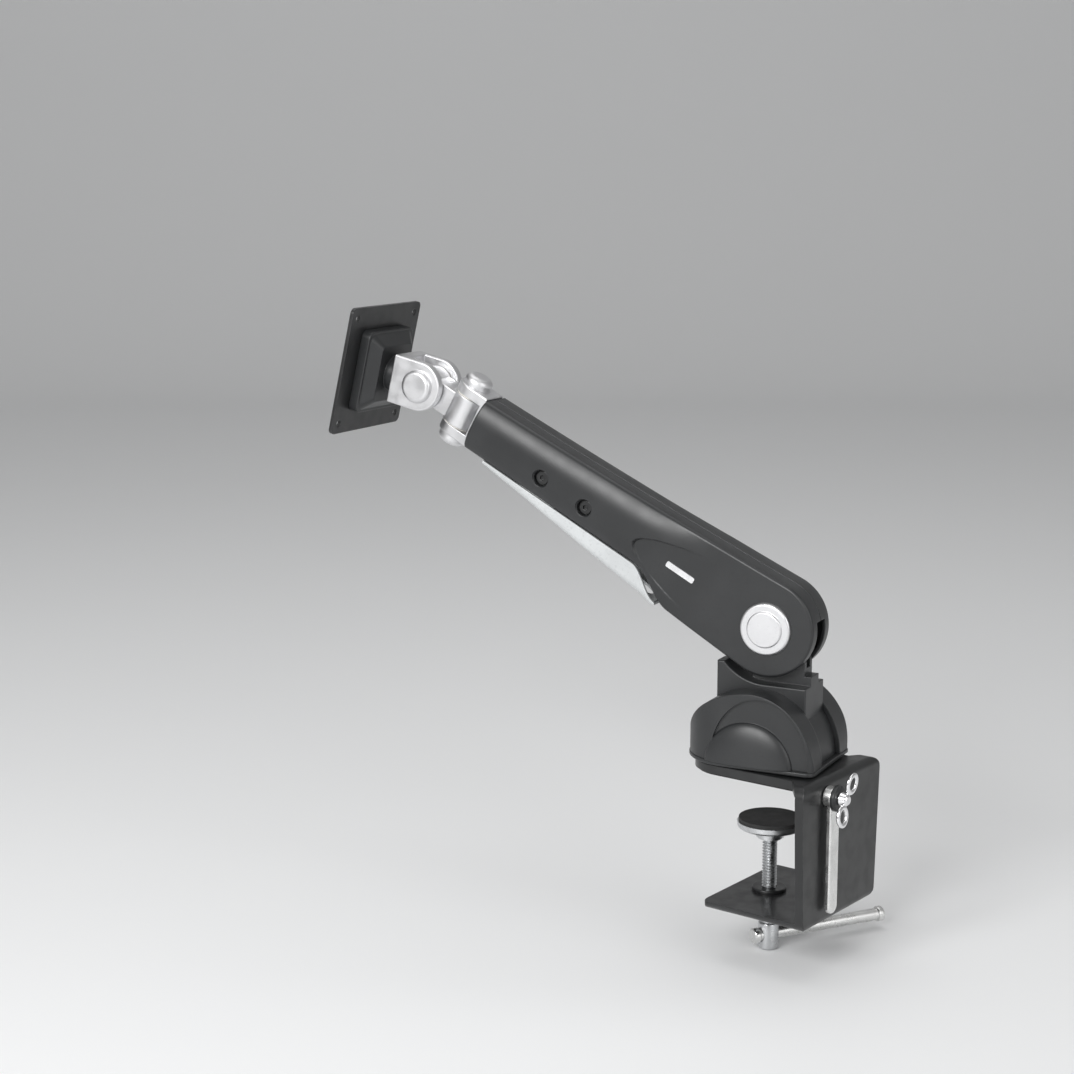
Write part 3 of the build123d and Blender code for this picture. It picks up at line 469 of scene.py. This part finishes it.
def ramp(t):
    """Eases from 0 to 1 as t goes from 0 to 1."""
    t = min(1.0, max(0.0, t))
    return t * t * (3 - 2 * t)


def arc_height(points, x):
    """The height at x of the flat arc through three points."""
    (x1, z1), (x2, z2), (x3, z3) = points
    d = 2 * (x1 * (z2 - z3) + x2 * (z3 - z1) + x3 * (z1 - z2))
    s1, s2, s3 = (px * px + pz * pz for px, pz in points)
    middle_x = (s1 * (z2 - z3) + s2 * (z3 - z1) + s3 * (z1 - z2)) / d
    middle_z = (s1 * (x3 - x2) + s2 * (x1 - x3) + s3 * (x2 - x1)) / d
    reach = math.hypot(x1 - middle_x, z1 - middle_z)
    rise = math.sqrt(max(0.0, reach**2 - (x - middle_x) ** 2))
    return middle_z + rise if middle_z < z1 else middle_z - rise


def between(start, end, x):
    """The height at x of the straight line through two points."""
    return start[1] + (end[1] - start[1]) * (x - start[0]) / (end[0] - start[0])


def casing_top(x):
    if x < 0:
        return math.sqrt(max(0.0, REAR_RADIUS**2 - x * x))
    return min(arc_height(TOP_ARC, x), REAR_RADIUS)


def casing_belly(x):
    if x < 0:
        return -math.sqrt(max(0.0, REAR_RADIUS**2 - x * x))
    if x < BELLY_END[0]:
        return max(between(BELLY_START, BELLY_END, x), -REAR_RADIUS)
    if x < UNDER_START[0]:
        slope = (BELLY_END[1] - BELLY_START[1]) / (BELLY_END[0] - BELLY_START[0])
        span = UNDER_START[0] - BELLY_END[0]
        t = (x - BELLY_END[0]) / span
        rise = UNDER_START[1] - BELLY_END[1]
        return BELLY_END[1] + rise * ramp(t) + slope * span * t * (1 - t) ** 2
    return between(UNDER_START, UNDER_END, x)


def outward(edge, x, sign):
    """The outward normal, as x and z, of an outline edge at x."""
    if x < 0:
        return Vector((x, edge(x))) / REAR_RADIUS
    before, after = max(x - SLOPE_STEP, 0.0), x + SLOPE_STEP
    slope = (edge(after) - edge(before)) / (after - before)
    return Vector((-slope * sign, sign)).normalized()


def face_height(x, z):
    """The height of a shell's face over the arm's middle plane. The front is a tube-like
    crown; a flat panel, with a parabolic front edge, is sunk into it and runs to the rear."""
    top, belly = casing_top(x), casing_belly(x)
    across = min(1.0, abs(2 * z - top - belly) / max(top - belly, 1e-6))
    crown = CROWN_RISE - CROWN_DROP * across**CROWN_POWER
    growing = ramp((x - CROWN_START) / CROWN_GROWTH)
    curl = PANEL_CURL_ABOVE if z > WELL_Z else PANEL_CURL_BELOW
    panel_edge = PANEL_TIP - curl * (z - WELL_Z) ** 2 / MM
    inside = ramp((panel_edge - x) / PANEL_STEP + 0.5)
    if z > WELL_Z and x < REAR_FLAT_END:
        inside = max(inside, 1 - ramp((x - REAR_FLAT_START) / REAR_FLAT_FADE))
    return CASING_HALF + crown * growing * (1 - inside)


def casing_stations():
    """Places along the arm, close together round the rear end."""
    rear = [-REAR_RADIUS * math.cos(QUARTER_TURN * k / REAR_STEPS) for k in range(REAR_STEPS)]
    front = [(CASING_END - END_ROUND) * k / FRONT_STEPS for k in range(FRONT_STEPS + 1)]
    return rear + front


def rim_profile():
    """Inset and share of the full height, from the parting seam out to the face."""
    points = [
        (SEAM_DEPTH, 0.0),
        (SEAM_DEPTH, SEAM_HALF),
        (0.0, SEAM_HALF * SEAM_FLARE),
        (0.0, SLOT_HALF),
    ]
    for k in range(EDGE_STEPS + 1):
        turn = QUARTER_TURN * k / EDGE_STEPS
        inset = EDGE_ROUND * (1 - math.cos(turn))
        points.append((inset, CASING_HALF - EDGE_ROUND * (1 - math.sin(turn))))
    return [(inset, height / CASING_HALF) for inset, height in points]


def casing_row(x, extra=0.0):
    """One cross-section of a shell, from the top seam over the face to the bottom seam."""
    ends = []
    for edge, sign in ((casing_top, 1), (casing_belly, -1)):
        place, normal = Vector((x, edge(x))), outward(edge, x, sign)
        ends.append([(place - normal * (inset + extra), share) for inset, share in rim_profile()])
    high, low = ends[0][-1][0], ends[1][-1][0]
    face = [(high.lerp(low, k / FACE_ROWS), 1.0) for k in range(1, FACE_ROWS)]
    row = ends[0] + face + ends[1][::-1]
    return [Vector((p.x, share * (face_height(p.x, p.y) - extra), p.y)) for p, share in row]


def in_slot(x, edge):
    """True where the rim is open for the yoke's tongue."""
    turn = math.atan2(edge(x), x)
    return turn < SLOT_START if turn < 0 else turn > SLOT_END


def shell_skin():
    """The left shell's outer skin in the arm's frame, with its front end and its slot."""
    bm = bmesh.new()
    stations = casing_stations()
    rows = [casing_row(x) for x in stations]
    end_row = [Vector((CASING_END, p.y, p.z)) for p in casing_row(stations[-1], END_ROUND)]
    rows.append(end_row)
    last_column = len(end_row) - 1

    def skip(i, j):
        x = stations[min(i, len(stations) - 1)]
        if j < RIM_COLUMNS:
            return in_slot(x, casing_top)
        return j >= last_column - RIM_COLUMNS and in_slot(x, casing_belly)

    made = grid(bm, rows, skip=skip)
    low, high = FORK_RISE - STEM_HALF_HEIGHT, FORK_RISE + STEM_HALF_HEIGHT
    window = ((0.0, low), (STEM_HALF_WIDTH, low), (STEM_HALF_WIDTH, high), (0.0, high))
    bm.faces.new(made[-1] + [bm.verts.new((CASING_END, y, z)) for y, z in window])
    bmesh.ops.remove_doubles(bm, verts=bm.verts, dist=1e-6)
    loose = [v for v in bm.verts if not v.link_faces]
    bmesh.ops.delete(bm, geom=loose, context="VERTS")
    return bm


def arm_shell(side):
    """Builds the shell of one side: 1 is the left one and -1 the right one."""
    bm = shell_skin()
    thicken(bm, Vector((0, 1, 0)), SHELL_WALL)
    place = arm_frame @ Matrix.Diagonal((1, side, 1, 1))
    name = "arm_shell_left" if side > 0 else "arm_shell_right"
    piece = new_piece(name + "_skin", bm, place, "arm", "black_plastic", name)
    cutters = []
    cups = bmesh.new()
    for x in WELL_XS:
        well = Matrix.Translation((x, 0, WELL_Z)) @ Matrix.Rotation(-QUARTER_TURN, 4, "X")
        hole = bmesh.new()
        lathe(hole, WELL_HOLE, well, WELL_SEGMENTS)
        cutters.append(add_cutter(hole, place))
        grid(cups, turned_rows(WELL_CUP + WELL_CUP[:1], well, WELL_SEGMENTS), closed_across=True)
    cut(piece, cutters)
    bmesh.ops.remove_doubles(cups, verts=cups.verts, dist=1e-7)
    settle(cups, place)
    join_to(piece, cups)
    shade(piece, SHELL_SHARP_DEG)


arm_shell(1)
arm_shell(-1)


# Cable cover ------------------------------------------------------------------------

COVER_HALF = 0.014
COVER_WALL = 0.002
COVER_NOSE = (0.0735, -0.0318)
COVER_HEEL = (0.0745, -0.0306)
COVER_CROWN = (0.102, -0.0162)
COVER_END = 0.23
COVER_KEEL = ((0.0755, -0.033), (0.15, -0.0272), (0.23, -0.0186))
COVER_ROUND = 0.0055
COVER_FLAT = 0.3  # share of the half width where the keel's flat has its first point
COVER_STEPS = 130
CORNER_STEPS = 8
NOSE_TRIM = 0.0004
NOSE_LENGTH = 0.003
WINDOW_XS = (0.097, 0.188)
WINDOW_HALF = 0.008
WINDOW_RADIUS = 0.007
WINDOW_HEIGHTS = (-0.045, -0.0195)
WINDOW_STEPS = 16
COVER_SHARP_DEG = 35


def cover_top(x):
    if x < COVER_HEEL[0]:
        return between(COVER_NOSE, COVER_HEEL, x)
    if x < COVER_CROWN[0]:
        t = (x - COVER_HEEL[0]) / (COVER_CROWN[0] - COVER_HEEL[0])
        return COVER_HEEL[1] + (COVER_CROWN[1] - COVER_HEEL[1]) * ramp(t)
    return COVER_CROWN[1]


def cover_bottom(x):
    keel = arc_height(COVER_KEEL, x)
    if x < COVER_NOSE[0] + NOSE_LENGTH:
        nose = ramp((x - COVER_NOSE[0]) / NOSE_LENGTH)
        return COVER_NOSE[1] + (keel - COVER_NOSE[1]) * nose
    return keel


def cover_row(x):
    """One cross-section of the cover, from the left rim under the keel to the right rim."""
    top, bottom = cover_top(x), cover_bottom(x)
    corner = min(COVER_ROUND, 0.8 * (top - bottom))
    half = [(COVER_HALF, top), (COVER_HALF, (top + bottom + corner) / 2)]
    for k in range(CORNER_STEPS + 1):
        turn = QUARTER_TURN * k / CORNER_STEPS
        y = COVER_HALF - corner * (1 - math.cos(turn))
        half.append((y, bottom + corner * (1 - math.sin(turn))))
    half += [(COVER_HALF * COVER_FLAT, bottom), (0.0, bottom)]
    row = half + [(-y, z) for y, z in half[-2::-1]]
    return [Vector((x, y, z)) for y, z in row]


def cover_skin():
    """The cover's outer skin in the arm's frame: open above, closed at both ends."""
    bm = bmesh.new()
    rows = []
    for k in range(COVER_STEPS + 1):
        along = (COVER_END - COVER_NOSE[0] - NOSE_TRIM) * k / COVER_STEPS
        rows.append(cover_row(COVER_NOSE[0] + NOSE_TRIM + along))
    made = grid(bm, rows)
    bm.faces.new(made[-1])
    bm.faces.new(made[0][::-1])
    return bm


def window_cutter(middle):
    """An upright prism with the long round-ended outline of a cable window."""
    rim = []
    for side in (1, -1):
        for k in range(WINDOW_STEPS + 1):
            turn = math.pi * (k / WINDOW_STEPS - 0.5)
            x = middle + side * (WINDOW_HALF + WINDOW_RADIUS * math.cos(turn))
            rim.append((x, side * WINDOW_RADIUS * math.sin(turn)))
    bm = bmesh.new()
    tube(bm, [[(x, y, z) for x, y in rim] for z in WINDOW_HEIGHTS])
    return add_cutter(bm, arm_frame)


def cable_cover():
    """A light trough under the arm, with round lower corners and two cable windows."""
    bm = cover_skin()
    thicken(bm, Vector((0, 0, -1)), COVER_WALL)
    piece = new_piece("cable_cover_skin", bm, arm_frame, "arm", "cover_grey", "cable_cover")
    cut(piece, [window_cutter(middle) for middle in WINDOW_XS])
    shade(piece, COVER_SHARP_DEG)


cable_cover()


# Clamp screw -------------------------------------------------------------------------

SCREW_RADIUS = 0.005
SCREW_SEGMENTS = 40
THREAD_PITCH = 0.002
THREAD_DEPTH = 0.00105
THREAD_FLANK = 3.2
THREAD_CREST = 0.3
ROWS_PER_PITCH = 9
PLAIN_NECK = 0.001
THREAD_FADE_IN = 0.003
THREAD_FADE_OUT = 0.0015
TIP_CHAMFER = 0.0008
TIP_LENGTH = 0.001
HEAD_RADIUS = 0.007
HEAD_HEIGHT = 0.018
HEAD_ROUND = 0.0015
HEAD_ROUND_STEPS = 5
HEAD_CHAMFER = 0.001
HEAD_CHAMFER_BULGE = 0.0003
HEAD_SEGMENTS = 56
BAR_HOLE = 0.00427
BAR_HOLE_FLARE = 0.0018
BAR_HOLE_STRAIGHT = 0.0058
BAR_HOLE_END = 0.0085
BAR_HOLE_SEGMENTS = 40
SCREW_SHARP_DEG = 32


def head_profile(bottom, top):
    """The screw's head: a round lower edge, and a chamfer in two steps at the top."""
    profile = []
    for k in range(HEAD_ROUND_STEPS + 1):
        turn = QUARTER_TURN * k / HEAD_ROUND_STEPS
        radius = HEAD_RADIUS - HEAD_ROUND * (1 - math.sin(turn))
        profile.append((radius, bottom + HEAD_ROUND * (1 - math.cos(turn))))
    profile.append((HEAD_RADIUS, top - HEAD_CHAMFER))
    profile.append((HEAD_RADIUS - HEAD_CHAMFER_BULGE, top - HEAD_CHAMFER_BULGE))
    profile.append((HEAD_RADIUS - HEAD_CHAMFER, top))
    return profile


def thread_rows(start, end):
    """Rings of a threaded rod along z, whose thread fades in and out at its ends."""
    rows = []
    z = start
    while z < end:
        runout = ramp((z - start - PLAIN_NECK) / THREAD_FADE_IN) * ramp((end - z) / THREAD_FADE_OUT)
        tip = TIP_CHAMFER * (1 - ramp((end - z) / TIP_LENGTH))
        row = []
        for k in range(SCREW_SEGMENTS):
            turn = FULL_TURN * k / SCREW_SEGMENTS
            phase = (z / THREAD_PITCH - k / SCREW_SEGMENTS) % 1.0
            flank = min(1.0, max(0.0, abs(phase - 0.5) * THREAD_FLANK - THREAD_CREST))
            radius = SCREW_RADIUS - THREAD_DEPTH * flank * runout - tip
            row.append(Vector((radius * math.cos(turn), radius * math.sin(turn), z)))
        rows.append(row)
        z += THREAD_PITCH / ROWS_PER_PITCH
    return rows


def bar_hole_cutter():
    """The cross hole for the tommy bar, flared at both mouths."""
    bar_low, bar_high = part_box("tommy_bar")
    centre = Vector((0, 0, (bar_low.z + bar_high.z) / 2))
    across = joint_axis("bar_slide").to_track_quat("Z", "Y").to_matrix().to_4x4()
    wide = BAR_HOLE + BAR_HOLE_FLARE
    profile = (
        (wide, -BAR_HOLE_END),
        (BAR_HOLE, -BAR_HOLE_STRAIGHT),
        (BAR_HOLE, BAR_HOLE_STRAIGHT),
        (wide, BAR_HOLE_END),
    )
    bm = bmesh.new()
    lathe(bm, profile, Matrix.Translation(centre) @ across, BAR_HOLE_SEGMENTS)
    return add_cutter(bm, IN_PLACE)


def clamp_screw():
    """A threaded rod with a round head that the tommy bar slides through."""
    low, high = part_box("clamp_screw")
    head_top = low.z + HEAD_HEIGHT
    head = bmesh.new()
    lathe(head, head_profile(low.z, head_top), IN_PLACE, HEAD_SEGMENTS)
    name = "clamp_screw_threaded"
    piece = new_piece(name, head, IN_PLACE, "clamp_screw", "zinc_steel", "clamp_screw")
    cut(piece, [bar_hole_cutter()])
    rod = bmesh.new()
    tube(rod, thread_rows(head_top, high.z))
    join_to(piece, rod)
    shade(piece, SCREW_SHARP_DEG)


clamp_screw()


# Wing screw ---------------------------------------------------------------------------

WING_TILT = math.radians(17)
WING_RADIUS = (0.0051, 0.0057)
WING_WIRE = 0.0017
WING_SPOT = (0.0058, 0.0094)  # of one wing's ring, from the hub; the other is opposite
WING_LIFT = 0.0045
WING_THICKNESS = 0.0013
WING_SWEEP = 0.0012
WING_REACH = 0.016
WING_STEPS = 48
WIRE_STEPS = 14
HUB_SINK = 0.0001
HUB_SEGMENTS = 40
SHANK_RADIUS = 0.003
SHANK_ENDS = (-0.011, 0.001)
SHANK_SEGMENTS = 32
MELT_SIZE = 0.0003
MELT_SMOOTHING = 6
WING_SHARP_DEG = 50


def hub_profile(depth):
    """The hub's (radius, height) points, from the washer out to its dome."""
    return [
        (0.0044, 0.0),
        (0.0047, 0.0008),
        (0.0043, 0.0025),
        (0.004, 0.0042),
        (0.0037, depth * 0.8),
        (0.0026, depth * 0.97),
    ]


def wing_rows(side, place):
    """The sections of one ring-shaped wing, which bends away from the strap at its end."""
    centre = Vector((side * WING_SPOT[0], side * WING_SPOT[1]))
    rows = []
    for k in range(WING_STEPS):
        turn = FULL_TURN * k / WING_STEPS
        ring = Vector((WING_RADIUS[0] * math.cos(turn), WING_RADIUS[1] * math.sin(turn)))
        ring = Matrix.Rotation(-WING_TILT, 2) @ ring
        out = ring.normalized()
        row = []
        for m in range(WIRE_STEPS):
            roll = FULL_TURN * m / WIRE_STEPS
            flat = centre + ring + out * WING_WIRE * math.cos(roll)
            sweep = WING_SWEEP * (abs(flat.y) / WING_REACH) ** 2
            lift = WING_LIFT + WING_THICKNESS * math.sin(roll) + sweep
            row.append(place @ Vector((flat.y, -flat.x, lift)))
        rows.append(row)
    return rows + rows[:1]


def wing_screw():
    """A cast wing screw: a domed hub with two ring-shaped wings, melted into one shape."""
    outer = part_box("strap_wing_screw")[0].x
    washer_low, washer_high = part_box("strap_washer")
    axis_spot = (washer_low + washer_high) / 2
    hub_base = washer_low.x - HUB_SINK
    hub_spot = Matrix.Translation((hub_base, axis_spot.y, axis_spot.z))
    place = hub_spot @ Matrix.Rotation(-QUARTER_TURN, 4, "Y")
    bm = bmesh.new()
    lathe(bm, hub_profile(hub_base - outer), place, HUB_SEGMENTS)
    for side in (-1, 1):
        grid(bm, wing_rows(side, place), closed_across=True)
    bmesh.ops.remove_doubles(bm, verts=bm.verts, dist=1e-7)
    name = "wing_screw_cast"
    piece = new_piece(name, bm, IN_PLACE, "wing_screw", "chrome", "strap_wing_screw")
    melt = piece.modifiers.new("melt", "REMESH")
    melt.mode = "VOXEL"
    melt.voxel_size = MELT_SIZE
    smooth = piece.modifiers.new("smooth", "SMOOTH")
    smooth.iterations = MELT_SMOOTHING
    apply_modifiers(piece)
    shank = bmesh.new()
    lathe(shank, [(SHANK_RADIUS, height) for height in SHANK_ENDS], place, SHANK_SEGMENTS)
    join_to(piece, shank)
    shade(piece, WING_SHARP_DEG)


wing_screw()


# Stage, light and camera ----------------------------------------------------------------

FLOOR_DROP = 0.0006
FLOOR_NEAR = -6.0
FLOOR_HALF_WIDTH = 12
FLOOR_COLOR = (0.84, 0.845, 0.85)
BACKDROP_DISTANCE = 3.2
BACKDROP_CURVE = 1.2
BACKDROP_HEIGHT = 6.0
BACKDROP_STEPS = 24
CAMERA_PLACE = Vector((-0.695, 1.1494, 0.3956))
CAMERA_LENS = 70.0
CAMERA_SENSOR = 36
VIEW_YAW = math.radians(37.8)
VIEW_PITCH = math.radians(-10.18)
WORLD_COLOR = (1, 1, 1, 1)
WORLD_STRENGTH = 0.36

level_gaze = Vector((math.sin(VIEW_YAW), -math.cos(VIEW_YAW), 0))
object_middle = (cad_box[0] + cad_box[1]) / 2


def floor_look():
    """Plain studio paper with faint cloudy marks."""
    look = Look("floor_look", FLOOR_COLOR)
    look.tint(look.band(look.noise(3, 2), 0.3, 0.7, 0, 0.25), times(FLOOR_COLOR, 0.985))
    return look.material


def studio_floor():
    """A floor under the arm that curves up into a backdrop, far along the gaze."""
    floor_height = cad_box[0].z - FLOOR_DROP
    sideways = Vector((level_gaze.y, -level_gaze.x, 0))
    sweep = [(FLOOR_NEAR, 0.0)]
    for k in range(BACKDROP_STEPS + 1):
        turn = QUARTER_TURN * k / BACKDROP_STEPS
        far = BACKDROP_DISTANCE + BACKDROP_CURVE * math.sin(turn)
        sweep.append((far, BACKDROP_CURVE * (1 - math.cos(turn))))
    sweep.append((BACKDROP_DISTANCE + BACKDROP_CURVE, BACKDROP_HEIGHT))
    rows = []
    for far, rise in sweep:
        spot = [level_gaze * far + sideways * wide for wide in (-FLOOR_HALF_WIDTH, FLOOR_HALF_WIDTH)]
        rows.append([point + Vector((0, 0, floor_height + rise)) for point in spot])
    bm = bmesh.new()
    grid(bm, rows)
    floor = add_object("floor", mesh_of("floor", bm))
    floor.data.shade_smooth()
    floor.data.materials.append(floor_look())


def studio_camera():
    """A long lens from the photo's side, pitched a little down."""
    data = bpy.data.cameras.new("camera")
    data.lens = CAMERA_LENS
    data.sensor_width = CAMERA_SENSOR
    camera = add_object("camera", data)
    camera.location = CAMERA_PLACE
    gaze = level_gaze * math.cos(VIEW_PITCH) + Vector((0, 0, math.sin(VIEW_PITCH)))
    camera.rotation_euler = gaze.to_track_quat("-Z", "Y").to_euler()
    bpy.context.scene.camera = camera


def softbox(name, place, size, power):
    """A rectangular light at a place from the arm's middle, turned toward it."""
    data = bpy.data.lights.new(name, "AREA")
    data.shape = "RECTANGLE"
    data.size, data.size_y = size
    data.energy = power
    light = add_object(name, data)
    light.location = object_middle + Vector(place)
    light.rotation_euler = (object_middle - light.location).to_track_quat("-Z", "Y").to_euler()


def studio_world():
    """An even white light from all round."""
    world = bpy.data.worlds.new("studio")
    world.use_nodes = True
    background = world.node_tree.nodes["Background"]
    background.inputs["Color"].default_value = WORLD_COLOR
    background.inputs["Strength"].default_value = WORLD_STRENGTH
    bpy.context.scene.world = world


studio_floor()
studio_camera()
softbox("key_light", (-0.15, 1.9, 0.95), (1.2, 0.9), 36)
softbox("fill_light", (-1.9, 0.4, 0.7), (1.4, 1.4), 11)
softbox("top_light", (0.1, -0.2, 2.0), (1.6, 1.6), 10)
studio_world()
bpy.context.scene.view_settings.view_transform = "Standard"
